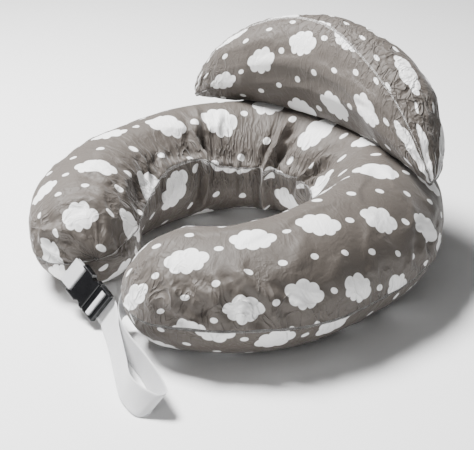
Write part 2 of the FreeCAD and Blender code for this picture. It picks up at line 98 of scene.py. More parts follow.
# Folds in the ring's cover, from one (distance along the ring, section angle) to another,
# with their half-width and depth
FOLDS = [
    ((-0.277, 2.35), (-0.282, 3.75), 0.0075, 0.0160),
    ((-0.244, 1.60), (-0.277, 2.55), 0.0060, 0.0070),
    ((-0.262, 1.75), (-0.290, 2.60), 0.0045, 0.0045),
    ((-0.072, 2.05), (-0.116, 4.00), 0.0080, 0.0170),
    ((-0.045, 2.25), (-0.092, 2.95), 0.0050, 0.0070),
    ((0.000, 3.40), (0.093, 2.25), 0.0075, 0.0110),
    ((0.030, 3.30), (0.115, 2.55), 0.0050, 0.0060),
    ((-0.170, 2.60), (-0.180, 3.60), 0.0055, 0.0050),
    ((-0.210, 1.90), (-0.225, 2.60), 0.0045, 0.0035),
    ((-0.350, 2.30), (-0.372, 3.10), 0.0050, 0.0050),
    ((-0.400, 2.20), (-0.425, 3.00), 0.0050, 0.0055),
    ((-0.450, 2.10), (-0.475, 2.95), 0.0050, 0.0060),
    ((-0.510, 1.60), (-0.560, 2.60), 0.0060, 0.0045),
    ((-0.570, 1.20), (-0.600, 2.30), 0.0060, 0.0050),
    ((-0.575, 0.10), (-0.600, 0.95), 0.0055, 0.0070),
    ((-0.545, 0.45), (-0.598, -0.20), 0.0050, 0.0060),
    ((-0.560, 0.75), (-0.607, 0.05), 0.0045, 0.0060),
    ((0.545, 0.80), (0.515, 0.05), 0.0055, 0.0090),
    ((0.530, 0.60), (0.500, -0.05), 0.0050, 0.0080),
    ((0.511, 0.70), (0.486, 0.00), 0.0055, 0.0100),
    ((0.494, 0.85), (0.468, -0.05), 0.0055, 0.0100),
    ((0.476, 0.95), (0.446, 0.02), 0.0055, 0.0085),
    ((0.452, 0.70), (0.422, -0.02), 0.0050, 0.0060),
    ((0.262, 0.45), (0.250, -0.20), 0.0055, 0.0080),
    ((0.238, 0.40), (0.232, -0.25), 0.0055, 0.0075),
    ((0.285, 0.30), (0.275, -0.25), 0.0040, 0.0040),
]


# ---- small tools ----

def smooth(edge0, edge1, x):
    """0 below edge0, 1 above edge1, smooth between."""
    t = np.clip((x - edge0) / (edge1 - edge0), 0.0, 1.0)
    return t * t * (3 - 2 * t)


def gauss(x, width):
    """A bell curve, 1 at x = 0."""
    return np.exp(-(x / width) ** 2)


def wave_noise(points, scale, seed, octaves=3):
    """Smooth noise from a few seeded plane waves, about -1 to 1."""
    rng = np.random.default_rng(seed)
    total = np.zeros(len(points))
    weight = 0.0
    for octave in range(octaves):
        size = scale / 2 ** octave
        gain = 0.6 ** octave
        for _ in range(5):
            direction = rng.normal(size=3)
            direction /= np.linalg.norm(direction)
            pace = 2 * math.pi / (size * rng.uniform(0.7, 1.4))
            total += gain * np.sin(points @ direction * pace + rng.uniform(0, 2 * math.pi))
        weight += gain * 2.2
    return total / weight


def new_object(name, verts, faces):
    mesh = bpy.data.meshes.new(name)
    mesh.from_pydata([tuple(v) for v in verts], [], [tuple(int(i) for i in f) for f in faces])
    mesh.validate()
    mesh.update()
    obj = bpy.data.objects.new(name, mesh)
    bpy.context.scene.collection.objects.link(obj)
    return obj


def read_points(obj):
    points = np.empty(len(obj.data.vertices) * 3)
    obj.data.vertices.foreach_get("co", points)
    return points.reshape(-1, 3)


def write_points(obj, points):
    obj.data.vertices.foreach_set("co", points.astype(np.float32).ravel())
    obj.data.update()


def vertex_normals(obj):
    normals = np.empty(len(obj.data.vertices) * 3)
    obj.data.vertices.foreach_get("normal", normals)
    return normals.reshape(-1, 3)


def shade_smooth(obj):
    obj.data.polygons.foreach_set("use_smooth", [True] * len(obj.data.polygons))


def apply_modifiers(obj):
    """Swaps the object's mesh for the one its modifiers make."""
    graph = bpy.context.evaluated_depsgraph_get()
    result = bpy.data.meshes.new_from_object(obj.evaluated_get(graph))
    obj.modifiers.clear()
    obj.data = result


def subdivide(obj, levels=1):
    mod = obj.modifiers.new("subdivision", "SUBSURF")
    mod.levels = levels
    mod.render_levels = levels
    apply_modifiers(obj)


def set_attribute(obj, name, values):
    """Stores a 2- or 3-vector per vertex as a 3-vector attribute."""
    attribute = obj.data.attributes.new(name, "FLOAT_VECTOR", "POINT")
    padded = np.zeros((len(values), 3), np.float32)
    padded[:, :values.shape[1]] = values
    attribute.data.foreach_set("vector", padded.ravel())


def get_attribute(obj, name):
    values = np.empty(len(obj.data.vertices) * 3, np.float32)
    obj.data.attributes[name].data.foreach_get("vector", values)
    return values.reshape(-1, 3)


def low_pass(values, rows, cols, reach_rows, reach_cols):
    """The slow part of values on a grid that closes round its columns."""
    grid = values[:rows * cols].reshape(rows, cols, -1)
    k = np.arange(-3 * reach_rows, 3 * reach_rows + 1)
    kernel = np.exp(-0.5 * (k / reach_rows) ** 2)
    padded = np.pad(grid, ((3 * reach_rows, 3 * reach_rows), (0, 0), (0, 0)), mode="edge")
    grid = sum(w * padded[i:i + rows] for i, w in enumerate(kernel / kernel.sum()))
    k = np.arange(-3 * reach_cols, 3 * reach_cols + 1)
    kernel = np.exp(-0.5 * (k / reach_cols) ** 2)
    grid = sum(w * np.roll(grid, int(shift), 1) for shift, w in zip(k, kernel / kernel.sum()))
    slow = values.copy()
    slow[:rows * cols] = grid.reshape(rows * cols, -1)
    return slow


def soften(obj, shape, slack, rows, cols, cap):
    """Simulates the cover a little small and blown up, and keeps its folds on the given shape."""
    centre = low_pass(shape, rows, cols, 4, cols // 3)
    write_points(obj, shape + (centre - shape) * 0.04)
    move = puff(obj, slack)
    move -= low_pass(move, rows, cols, 7, 8)
    size = np.linalg.norm(move, axis=1, keepdims=True)
    move *= np.tanh(size / cap) * cap / np.maximum(size, 1e-9)
    write_points(obj, shape + move)


def puff(obj, slack, pressure=4.0, frames=20):
    """Blows the closed cover up with cloth simulation, and gives each point's move.

    slack is how much longer than its shape the cloth is cut, per vertex; negative gathers it.
    """
    before = read_points(obj)
    loosest, tightest = 0.22, -0.08
    gather = obj.vertex_groups.new(name="gather")
    weight = (loosest - slack) / (loosest - tightest)
    for i, w in enumerate(np.clip(weight, 0, 1)):
        gather.add([i], float(w), "REPLACE")
    held = obj.vertex_groups.new(name="held")
    held.add([len(before) - 2, len(before) - 1], 1.0, "REPLACE")
    cloth = obj.modifiers.new("cloth", "CLOTH")
    settings = cloth.settings
    settings.quality = 6
    settings.mass = 0.25
    settings.tension_stiffness = 18
    settings.compression_stiffness = 18
    settings.shear_stiffness = 6
    settings.bending_stiffness = 0.06
    settings.air_damping = 4
    settings.use_pressure = True
    settings.uniform_pressure_force = pressure
    settings.effector_weights.gravity = 0
    settings.shrink_min = -loosest
    settings.shrink_max = -tightest
    settings.vertex_group_shrink = "gather"
    settings.vertex_group_mass = "held"
    cloth.collision_settings.use_collision = False
    cloth.point_cache.frame_start = 1
    cloth.point_cache.frame_end = frames
    scene = bpy.context.scene
    for f in range(1, frames + 1):
        scene.frame_set(f)
    graph = bpy.context.evaluated_depsgraph_get()
    result = bpy.data.meshes.new_from_object(obj.evaluated_get(graph))
    after = np.empty(len(before) * 3)
    result.vertices.foreach_get("co", after)
    after = after.reshape(-1, 3)
    obj.modifiers.clear()
    obj.vertex_groups.clear()
    scene.frame_set(1)
    move = after - before
    move[-2:] = move[-4:-2].mean(0)
    return move


# ---- ring geometry ----

def ring_line(distance):
    """Plan point and heading on the ring's middle line at signed distances from the back's middle."""
    side = np.where(distance < 0, -1.0, 1.0)
    s = np.abs(distance)
    a = np.minimum(s, BACK_QUARTER) / BACK_RADIUS
    straight = np.clip(s - BACK_QUARTER, 0, ARM_STRAIGHT)
    b = np.clip(s - BACK_QUARTER - ARM_STRAIGHT, 0, FRONT_RADIUS * FRONT_TURN) / FRONT_RADIUS
    past = np.maximum(s - NOSE_START, 0)
    hx = np.where(s < BACK_QUARTER, np.cos(a), -np.sin(b))
    hy = np.where(s < BACK_QUARTER, -np.sin(a), -np.cos(b))
    x = BACK_RADIUS * np.sin(a) - FRONT_RADIUS * (1 - np.cos(b)) + hx * past
    y = BACK_RADIUS * np.cos(a) - straight - FRONT_RADIUS * np.sin(b) + hy * past
    return np.stack([side * x, y + SHIFT_Y], -1), np.stack([hx, side * hy], -1)


def ring_stations(step):
    """Distances along the ring, spaced evenly over the rounded noses as well."""
    count = int(round(NOSE_START / step))
    along = np.linspace(0, NOSE_START, count + 1)
    turns = int(round(NOSE_LENGTH * math.pi / 2 / step))
    angles = np.linspace(0, math.pi / 2, turns + 1)[1:-1]
    angles = np.append(angles, [math.pi / 2 - 0.045, math.pi / 2 - 0.02])
    nose = NOSE_START + NOSE_LENGTH * np.sin(angles)
    half = np.concatenate([along, nose])
    return np.concatenate([-half[:0:-1], half])


def seam_angles(s):
    """Section angles of the outer and inner seams along the ring, in radians."""
    outer = -0.206 + 0.12 * smooth(0.38, 0.48, s)
    inner = 2.95 - 0.30 * gauss(np.abs(s) - 0.33, 0.08)
    return outer, inner


def ring_grid(step):
    """The ring's skin as a grid: distances, section angles, points and flat print coordinates."""
    s = ring_stations(step)
    rows_top, rows_bottom = 62, 50
    outer, inner = seam_angles(s)
    top = np.linspace(0, 1, rows_top, endpoint=False)
    bottom = np.linspace(0, 1, rows_bottom, endpoint=False)
    phi = np.concatenate([outer[:, None] + (inner - outer)[:, None] * top,
                          inner[:, None] + (outer + 2 * math.pi - inner)[:, None] * bottom], 1)
    at, heading = ring_line(s)
    outward = np.stack([-heading[:, 1], heading[:, 0]], -1)
    share = np.abs(s) / (NOSE_START + NOSE_LENGTH)
    thin = 1 - (1 - TIP_SCALE) * np.clip((share - TAPER_START) / (1 - TAPER_START), 0, 1)
    past = np.clip((np.abs(s) - NOSE_START) / NOSE_LENGTH, 0, 1)
    rounding = np.sqrt(1 - past * past)
    across = (HALF_WIDTH * thin * rounding)[:, None] * np.cos(phi)
    up = (HALF_HEIGHT * thin * rounding)[:, None] * np.sin(phi)
    xy = at[:, None] + outward[:, None] * across[..., None]
    z = CENTRE_Z * thin[:, None] + up
    points = np.concatenate([xy, z[..., None]], -1)
    is_top = np.arange(rows_top + rows_bottom) <= rows_top
    return s, phi, points, flat_ring(s, phi, is_top, rounding, at, outward, heading)


def flat_ring(s, phi, is_top, rounding, at, outward, heading):
    """Where each skin point lies on the flat printed cloth before it is sewn."""
    lean = np.where(is_top, math.pi / 2 - phi, phi - 1.5 * math.pi)
    w = lean * 0.090 * np.maximum(rounding, 0.2)[:, None]
    w = np.where(w < 0, 0.75 * w, w)
    over = np.clip(np.abs(s) - NOSE_START, 0, NOSE_LENGTH)
    extra = NOSE_LENGTH * np.arcsin(np.clip(over / NOSE_LENGTH, 0, 1)) - over
    side = np.where(s < 0, -1.0, 1.0)
    base = at + heading * (extra * side)[:, None]
    flat = base[:, None] + outward[:, None] * w[..., None]
    return flat + np.where(is_top, 0.0, 0.537)[None, :, None]


def grid_faces(rows, cols):
    """Quads of a grid that closes round its columns."""
    i, j = np.meshgrid(np.arange(rows - 1), np.arange(cols), indexing="ij")
    k = (j + 1) % cols
    return np.stack([i * cols + j, i * cols + k, (i + 1) * cols + k, (i + 1) * cols + j], -1).reshape(-1, 4)


def ring_skin():
    """The whole stuffed cover as one closed mesh, before it is cut into its two panels."""
    s, phi, points, flat = ring_grid(0.0057)
    rows, cols = phi.shape
    verts = points.reshape(-1, 3)
    flat = flat.reshape(-1, 2)
    caps = [points[0].mean(0), points[-1].mean(0)]
    verts = np.concatenate([verts, caps])
    flat = np.concatenate([flat, [flat[:cols].mean(0), flat[-cols:].mean(0)]])
    faces = [tuple(f) for f in grid_faces(rows, cols)]
    first, last = rows * cols, rows * cols + 1
    for j in range(cols):
        k = (j + 1) % cols
        faces.append((first, k, j))
        faces.append((last, (rows - 1) * cols + j, (rows - 1) * cols + k))
    obj = new_object("ring_skin", verts, [f[::-1] for f in faces])
    set_attribute(obj, "print", flat)
    s_all = np.concatenate([np.repeat(s, cols), [s[0], s[-1]]])
    phi_all = np.concatenate([phi.ravel(), [0.0, 0.0]])
    set_attribute(obj, "place", np.stack([s_all, phi_all], -1))
    return obj, rows, cols


def ring_slack(s, phi, points):
    """How loosely the cover is cut: loose on the inner wall, gathered along its seams."""
    inner = 0.5 - 0.5 * np.cos(np.clip(phi, 0, 2 * math.pi))
    slack = 0.005 + 0.11 * inner ** 3
    slack += 0.03 * wave_noise(points, 0.05, 11)
    slack += 0.07 * smooth(NOSE_START - 0.02, NOSE_START + 0.05, np.abs(s))
    return slack - (0.11 - 0.07 * smooth(1.5, 2.5, phi)) * seam_nearness(s, phi, 0.05)


def seam_nearness(s, phi, reach):
    """1 on the ring's two seams, falling to 0 at about twice the reach in section angle."""
    outer, inner = seam_angles(s)
    near = gauss(phi - outer, reach) + gauss(phi - outer - 2 * math.pi, reach) + gauss(phi - inner, reach)
    return np.clip(near, 0, 1)


def creases(s, angle, seed):
    """Sharp little folds that run across a seam or an arm, 0 to 1."""
    rng = np.random.default_rng(seed)
    total = np.zeros(len(s))
    for length, gain in ((0.016, 0.5), (0.026, 0.8), (0.043, 1.0)):
        a, b, c = rng.uniform(0, 2 * math.pi, 3)
        drift = 1.3 * np.sin(2.1 * angle + 9 * s + a) + 0.9 * np.sin(3.7 * angle - 23 * s + b)
        wave = np.sin(2 * math.pi * s / length + drift)
        patch = np.clip(0.3 + np.sin(19 * s + 1.7 * angle + c) * np.cos(2.3 * angle + 31 * s), 0, 1)
        total += gain * (1 - np.abs(wave)) ** 2.2 * patch
    return total


def make_ring():
    obj, rows, cols = ring_skin()
    place = get_attribute(obj, "place").astype(float)
    s, phi = place[:, 0], place[:, 1]
    points = read_points(obj)
    cap = 0.0018 + 0.0042 * gauss(phi - 2.9, 0.9)
    soften(obj, points, ring_slack(s, phi, points), rows, cols, cap[:, None])
    amount = crease_amount(s, phi)
    shape_ring(obj, s, phi, amount)
    set_attribute(obj, "crinkle", np.stack([s, phi, amount], -1))
    subdivide(obj)
    return obj


def crease_amount(s, phi):
    """How creased the ring's cover is: most inside the bend, at the tips and along its seams."""
    amount = 0.10 + 0.75 * gauss(phi - 2.9, 0.75) * (1 - smooth(0.36, 0.5, s))
    amount += 0.9 * seam_nearness(s, phi, 0.30)
    amount += 0.6 * smooth(NOSE_START - 0.05, NOSE_START + 0.02, np.abs(s)) * gauss(phi - 0.4, 1.0)
    amount += 0.7 * smooth(0.40, 0.47, s) * gauss(phi - 0.25, 0.5)
    return np.clip(amount, 0, 1)


def shape_ring(obj, s, phi, amount):
    """The seams' grooves, the small creases, the big folds and the pressed underside."""
    points = read_points(obj)
    normals = vertex_normals(obj)
    depth = (SEAM_GROOVE - 0.0012 * smooth(1.5, 2.5, phi)) * seam_nearness(s, phi, 0.035)
    depth = depth + 0.0026 * amount * creases(s, phi, 3)
    for start, end, reach, deep in FOLDS:
        depth = depth + deep * fold(s, phi, start, end, reach)
    depth = depth - 0.005 * gauss(np.abs(s) - 0.27, 0.09) * gauss(phi - 0.6, 0.7)
    depth = depth * (1 - smooth(-0.012, -0.001, np.abs(s) - NOSE_START - NOSE_LENGTH))
    points -= normals * depth[:, None]
    points[:, 2] = floor_press(points[:, 2])
    write_points(obj, points)


def fold(s, phi, start, end, reach):
    """A valley between two (distance, section angle) points, with a low swell beside it."""
    radius = 0.085
    a = np.array([start[0], start[1] * radius])
    b = np.array([end[0], end[1] * radius])
    along = b - a
    length = np.linalg.norm(along)
    along /= length
    x, y = s - a[0], phi * radius - a[1]
    run = (x * along[0] + y * along[1]) / length
    off = x * along[1] - y * along[0]
    off = off + 0.004 * np.sin(run * 7 + start[0] * 40)
    fade = smooth(-0.15, 0.2, run) * (1 - smooth(0.8, 1.15, run))
    valley = np.exp(-np.abs(off / reach) ** 1.5)
    return fade * (valley - 0.4 * gauss(np.abs(off) - 2.3 * reach, reach * 1.2))


def floor_press(z):
    """Keeps heights above the floor with a soft turn into the flat."""
    soft = 0.004
    low = 0.0004
    t = z - low
    return low + 0.5 * (t + np.sqrt(t * t + soft * soft))


def split_panels(obj, names, is_first):
    """Cuts a closed skin into two open panels along its seams."""
    place = get_attribute(obj, "place")
    count = len(obj.data.polygons)
    starts = np.empty(count, int)
    totals = np.empty(count, int)
    obj.data.polygons.foreach_get("loop_start", starts)
    obj.data.polygons.foreach_get("loop_total", totals)
    loops = np.empty(len(obj.data.loops), int)
    obj.data.loops.foreach_get("vertex_index", loops)
    points = read_points(obj)
    carried = {name: get_attribute(obj, name) for name in ("print", "crinkle")}
    groups = {True: [], False: []}
    for a, n in zip(starts, totals):
        ids = loops[a:a + n]
        groups[bool(is_first(place[ids]))].append(ids)
    made = []
    for key, name in zip((True, False), names):
        used = np.unique(np.concatenate(groups[key]))
        where = np.full(len(points), -1)
        where[used] = np.arange(len(used))
        panel = new_object(name, points[used], [where[ids] for ids in groups[key]])
        for name, values in carried.items():
            set_attribute(panel, name, values[used])
        shade_smooth(panel)
        made.append(panel)
    bpy.data.objects.remove(obj)
    return made


def ring_is_upper(place):
    """Whether a face lies between the outer and inner seams over the top."""
    s = place[:, 0].mean()
    outer, inner = seam_angles(np.array([s]))
    phi = np.sort(place[:, 1])
    middle = phi.mean()
    if phi[-1] - phi[0] > 3:
        return False
    return outer[0] - 1e-3 < middle < inner[0] + 1e-3


# ---- bolster geometry ----

def rim_seam(d):
    """Section angle of the seam between front and back panel: forward of the crown at the right."""
    return math.pi - 0.05 - 0.56 * smooth(-0.10, 0.13, d)


def bolster_grid():
    """The bolster's skin as a grid: distances, section angles from the base up the front, points."""
    d = BOLSTER_HALF_LENGTH * np.sin(np.radians(np.linspace(-88, 88, 105)))
    rim = rim_seam(d)[:, None]
    front = np.linspace(0, 1, 46, endpoint=False)
    back = np.linspace(0, 1, 52, endpoint=False)
    turn = np.concatenate([rim * front, rim + (2 * math.pi - rim) * back], 1)
    rounding = np.sqrt(1 - (d / BOLSTER_HALF_LENGTH) ** 2)
    tall = (0.97 * BOLSTER_HEIGHT / 2 * rounding)[:, None]
    thick = (BOLSTER_THICKNESS / 2 * np.minimum(1, BOLSTER_END_FULLNESS * rounding))[:, None]
    up = tall * (1 - np.cos(turn))
    out = -thick * np.sin(turn) * (1 + 0.10 * gauss(turn - 1.0, 0.6))
    bend = d / BOLSTER_BEND_RADIUS
    hang = np.clip((np.abs(d) - DROOP_START) / (BOLSTER_HALF_LENGTH - DROOP_START), 0, 1)
    radius = BOLSTER_BEND_RADIUS + out * math.cos(BOLSTER_LEAN) - up * math.sin(BOLSTER_LEAN)
    x = radius * np.sin(bend)[:, None]
    y = BOLSTER_BASE_Y - BOLSTER_BEND_RADIUS + radius * np.cos(bend)[:, None]
    z = BOLSTER_BASE_Z - (BOLSTER_DROOP * hang ** 2)[:, None]
    z = z + up * math.cos(BOLSTER_LEAN) + out * math.sin(BOLSTER_LEAN)
    return d, turn, np.stack([x, y, z], -1)


def bolster_skin():
    d, turn, points = bolster_grid()
    rows, cols = turn.shape
    verts = np.concatenate([points.reshape(-1, 3), [points[0].mean(0), points[-1].mean(0)]])
    faces = [tuple(f) for f in grid_faces(rows, cols)]
    for j in range(cols):
        k = (j + 1) % cols
        faces.append((rows * cols, k, j))
        faces.append((rows * cols + 1, (rows - 1) * cols + j, (rows - 1) * cols + k))
    obj = new_object("bolster_skin", verts, faces)
    along = np.concatenate([np.repeat(d, cols), [d[0], d[-1]]])
    angle = np.concatenate([turn.ravel(), [1.0, 1.0]])
    in_front = angle < rim_seam(along) - 1e-6
    climb = np.where(in_front, angle, 2 * math.pi - angle) * 0.066
    c, w = math.cos(PRINT_TURN), math.sin(PRINT_TURN)
    length = along - BOLSTER_PRINT_STRETCH * np.maximum(along, 0)
    flat = np.stack([length * c - climb * w, length * w + climb * c], -1)
    flat += np.where(in_front, 1.03, 1.70)[:, None]
    set_attribute(obj, "print", flat)
    set_attribute(obj, "place", np.stack([along, angle], -1))
    return obj, rows, cols, along, angle


def make_bolster(ring):
    obj, rows, cols, along, angle = bolster_skin()
    points = read_points(obj)
    past = angle - rim_seam(along)
    rim = gauss(past, 0.05) + gauss(angle, 0.05) + gauss(angle - 2 * math.pi, 0.05)
    near = gauss(past, 0.45) + 0.5 * gauss(angle, 0.5) + 0.5 * gauss(angle - 2 * math.pi, 0.5)
    behind = smooth(0.0, 0.1, past) * (1 - smooth(0.9, 1.4, past))
    ends = smooth(0.17, 0.25, np.abs(along))
    slack = 0.01 + 0.03 * wave_noise(points, 0.05, 23) + 0.03 * behind + 0.05 * ends
    soften(obj, points, slack - 0.11 * rim, rows, cols, 0.003)
    amount = np.clip(0.15 + 0.7 * near + 0.6 * behind + 0.7 * ends, 0, 1)
    points = read_points(obj)
    normals = vertex_normals(obj)
    depth = SEAM_GROOVE * gauss(past, 0.04) + 0.0024 * amount * creases(along, angle, 8)
    ripple = np.sin(along * 2 * math.pi / 0.017 + 2 * np.sin(along * 40))
    depth = depth + 0.0016 * behind * (0.5 + 0.5 * ripple)
    points -= normals * depth[:, None]
    write_points(obj, rest_on(points, angle, ring))
    set_attribute(obj, "crinkle", np.stack([along, angle, amount], -1))
    subdivide(obj)
    return obj


def bolster_is_front(place):
    """Whether a face lies on the front panel, between the base and the rim seam."""
    angle = place[:, 1]
    return np.ptp(angle) < 2 and angle.mean() < rim_seam(place[:, 0].mean())


def rest_on(points, angle, ring):
    """Lets the front of the bolster's base sag until it lies on the ring."""
    tree = BVHTree.FromObject(ring, bpy.context.evaluated_depsgraph_get())
    points = points.copy()
    ahead = smooth(-0.12, 0.25, np.sin(angle))
    for i in np.nonzero(points[:, 2] < BOLSTER_BASE_Z + 0.040)[0]:
        p = points[i]
        above = p[2] - BOLSTER_BASE_Z
        sag = BOLSTER_SAG * ahead[i] * (1 - smooth(-0.005, 0.040, above))
        hit = tree.ray_cast(Vector((p[0], p[1], 0.5)), Vector((0, 0, -1)))[0]
        floor = hit.z + 0.0010 if hit else -1.0
        points[i, 2] = max(p[2] - sag, min(floor, p[2] + 0.004))
    return points


# ---- webbing ----

# Middle of the strap from the plug, along the floor, round and back to the right tip, in
# metres, with the direction across the webbing: the same route as the frame's strap
STRAP_ROUTE = [
    (0.0086, -0.2633, 0.0272, 0.34, 0.52, 0.79),
    (0.0150, -0.2633, 0.0244, 0.34, 0.52, 0.79),
    (0.0240, -0.2655, 0.0226, 0.37, 0.48, 0.80),
    (0.0380, -0.2735, 0.0230, 0.42, 0.38, 0.82),
    (0.0640, -0.2885, 0.0232, 0.48, 0.22, 0.85),
    (0.0920, -0.3035, 0.0214, 0.45, 0.19, 0.87),
    (0.1290, -0.3240, 0.0196, 0.39, 0.22, 0.90),
    (0.1610, -0.3415, 0.0185, 0.32, 0.24, 0.92),
    (0.1860, -0.3460, 0.0176, 0.36, 0.36, 0.86),
    (0.2020, -0.3440, 0.0162, 0.38, 0.50, 0.78),
    (0.2095, -0.3385, 0.0160, 0.38, 0.52, 0.76),
    (0.2100, -0.3310, 0.0166, 0.36, 0.46, 0.81),
    (0.2030, -0.3245, 0.0179, 0.30, 0.34, 0.89),
    (0.1850, -0.3155, 0.0190, 0.18, 0.22, 0.96),
    (0.1500, -0.3035, 0.0196, 0.08, 0.14, 0.99),
    (0.1120, -0.2940, 0.0202, 0.04, 0.10, 0.99),
    (0.0820, -0.2850, 0.0220, 0.02, 0.06, 1.00),
    (0.0600, -0.2740, 0.0270, 0.00, 0.02, 1.00),
    (0.0460, -0.2625, 0.0330, 0.00, 0.00, 1.00),
    (0.0400, -0.2525, 0.0385, 0.00, 0.00, 1.00),
    (0.0440, -0.2440, 0.0410, 0.00, 0.00, 1.00),
]


def catmull(rows, steps):
    """A smooth line through the rows, with the same number of steps between each two."""
    p = np.concatenate([[2 * rows[0] - rows[1]], rows, [2 * rows[-1] - rows[-2]]])
    out = []
    for i in range(1, len(p) - 2):
        for t in np.linspace(0, 1, steps, endpoint=False):
            a, b, c, d = p[i - 1], p[i], p[i + 1], p[i + 2]
            out.append(0.5 * (2 * b + (c - a) * t + (2 * a - 5 * b + 4 * c - d) * t * t
                              + (3 * b - a - 3 * c + d) * t ** 3))
    out.append(p[-2])
    return np.array(out)


def ribbon_mesh(name, centre, across, width, thickness, bow=0.0):
    """A band of webbing with thinned edges along a line."""
    heading = np.gradient(centre, axis=0)
    heading /= np.linalg.norm(heading, axis=1)[:, None]
    across = across / np.linalg.norm(across, axis=1)[:, None]
    out = np.cross(heading, across)
    out /= np.linalg.norm(out, axis=1)[:, None]
    u = np.linspace(-1, 1, 13)
    half = thickness / 2 * np.clip(1 - np.abs(u) ** 16, 0.25, 1)
    profile = [(a, h) for a, h in zip(u, half)] + [(a, -h) for a, h in zip(u[::-1], half[::-1])]
    rings = []
    travel = np.concatenate([[0], np.cumsum(np.linalg.norm(np.diff(centre, axis=0), axis=1))])
    for a, h in profile:
        rings.append(centre + across * (a * width / 2) + out * (h + bow * (1 - a * a)))
    points = np.stack(rings, 1)
    rows, cols = points.shape[:2]
    faces = [tuple(f) for f in grid_faces(rows, cols)]
    faces.append(tuple(range(cols))[::-1])
    faces.append(tuple((rows - 1) * cols + j for j in range(cols)))
    obj = new_object(name, points.reshape(-1, 3), [f[::-1] for f in faces])
    a = np.array([p[0] for p in profile])
    weave = np.stack([np.repeat(travel, cols), np.tile(a * width / 2, rows)], -1)
    set_attribute(obj, "weave", weave)
    shade_smooth(obj)
    return obj, travel[-1]


def make_strap():
    rows = catmull(np.array(STRAP_ROUTE), 10)
    centre = rows[:, :3] + np.array([0, SHIFT_Y, 0])
    across = rows[:, 3:]
    obj, length = ribbon_mesh("strap", centre, across, WEB_WIDTH, WEB_THICKNESS)
    points = read_points(obj)
    points[:, 2] = np.maximum(points[:, 2], 0.0003)
    write_points(obj, points)
    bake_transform(obj)
    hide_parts("strap_webbing")
    return obj


# ---- materials ----

class Graph:
    """Short calls for building a material's nodes."""

    def __init__(self, name):
        self.material = bpy.data.materials.new(name)
        self.material.use_nodes = True
        self.tree = self.material.node_tree
        self.bsdf = self.tree.nodes["Principled BSDF"]

    def node(self, kind, **values):
        made = self.tree.nodes.new(kind)
        for key, value in values.items():
            if hasattr(made, key):
                setattr(made, key, value)
            else:
                made.inputs[key.replace("_", " ")].default_value = value
        return made

    def link(self, a, b):
        self.tree.links.new(a, b)
        return b

    def math(self, operation, a, b=None, c=None):
        made = self.tree.nodes.new("ShaderNodeMath")
        made.operation = operation
        for socket, value in zip(made.inputs, (a, b, c)):
            if value is None:
                continue
            if hasattr(value, "is_linked"):
                self.tree.links.new(value, socket)
            else:
                socket.default_value = value
        return made.outputs[0]

    def ramp(self, value, low, high, smooth_step=True):
        made = self.tree.nodes.new("ShaderNodeMapRange")
        made.interpolation_type = "SMOOTHSTEP" if smooth_step else "LINEAR"
        made.inputs["From Min"].default_value = low
        made.inputs["From Max"].default_value = high
        self.tree.links.new(value, made.inputs["Value"])
        return made.outputs[0]

    def mix(self, factor, a, b):
        made = self.tree.nodes.new("ShaderNodeMix")
        made.data_type = "RGBA"
        for socket, value in ((made.inputs[0], factor), (made.inputs[6], a), (made.inputs[7], b)):
            if hasattr(value, "is_linked"):
                self.tree.links.new(value, socket)
            else:
                socket.default_value = value
        return made.outputs[2]

    def noise(self, vector, scale, detail=3.0, roughness=0.5, distortion=0.0):
        made = self.node("ShaderNodeTexNoise", Scale=scale, Detail=detail, Roughness=roughness,
                         Distortion=distortion)
        self.tree.links.new(vector, made.inputs["Vector"])
        return made.outputs[0]

    def bump(self, height, distance, strength=1.0, after=None):
        made = self.tree.nodes.new("ShaderNodeBump")
        made.inputs["Distance"].default_value = distance
        made.inputs["Strength"].default_value = strength
        self.tree.links.new(height, made.inputs["Height"])
        if after is not None:
            self.tree.links.new(after, made.inputs["Normal"])
        return made.outputs[0]

    def attribute(self, name):
        made = self.tree.nodes.new("ShaderNodeAttribute")
        made.attribute_name = name
        return made.outputs["Vector"]

    def separate(self, vector):
        made = self.tree.nodes.new("ShaderNodeSeparateXYZ")
        self.tree.links.new(vector, made.inputs[0])
        return made.outputs

    def position(self):
        return self.tree.nodes.new("ShaderNodeTexCoord").outputs["Object"]


CELL_U = 0.088                  # spacing of the printed clouds along a row
CELL_V = 0.096                  # spacing between rows
LATTICE_TURN = math.radians(67.56)
LATTICE_SHIFT_V = 0.070
DOT_HALF_WIDTH = 0.0058
DOT_HALF_HEIGHT = 0.0042

# The printed cloud's lobes: middle and radius of each, in metres
CLOUD_LOBES = [
    (0.000, 0.000, 0.0140), (-0.009, -0.003, 0.0120), (0.010, -0.002, 0.0120),
    (-0.008, 0.008, 0.0105), (0.006, 0.0095, 0.0110), (-0.019, 0.001, 0.0095),
    (0.020, 0.002, 0.0095), (-0.013, -0.009, 0.0085), (0.001, -0.011, 0.0090), (0.014, -0.008, 0.0085),
]


def lattice(g, u, v, step_u, step_v, shift_u, shift_v, stagger):
    """Position inside a cell of a staggered lattice, centred, and whether its row is odd."""
    row = g.math("FLOOR", g.math("DIVIDE", g.math("ADD", v, shift_v), step_v))
    odd = g.math("MODULO", g.math("ABSOLUTE", row), 2.0)
    moved = g.math("ADD", g.math("ADD", u, shift_u), g.math("MULTIPLY", odd, stagger * step_u))
    column = g.math("FLOOR", g.math("DIVIDE", moved, step_u))
    x = g.math("SUBTRACT", moved, g.math("MULTIPLY", g.math("ADD", column, 0.5), step_u))
    y = g.math("SUBTRACT", g.math("ADD", v, shift_v), g.math("MULTIPLY", g.math("ADD", row, 0.5), step_v))
    return x, y, odd


def turned(g, x, y, angle):
    """Coordinates seen from axes turned by an angle."""
    c, w = math.cos(angle), math.sin(angle)
    a = g.math("ADD", g.math("MULTIPLY", x, c), g.math("MULTIPLY", y, w))
    b = g.math("SUBTRACT", g.math("MULTIPLY", y, c), g.math("MULTIPLY", x, w))
    return a, b


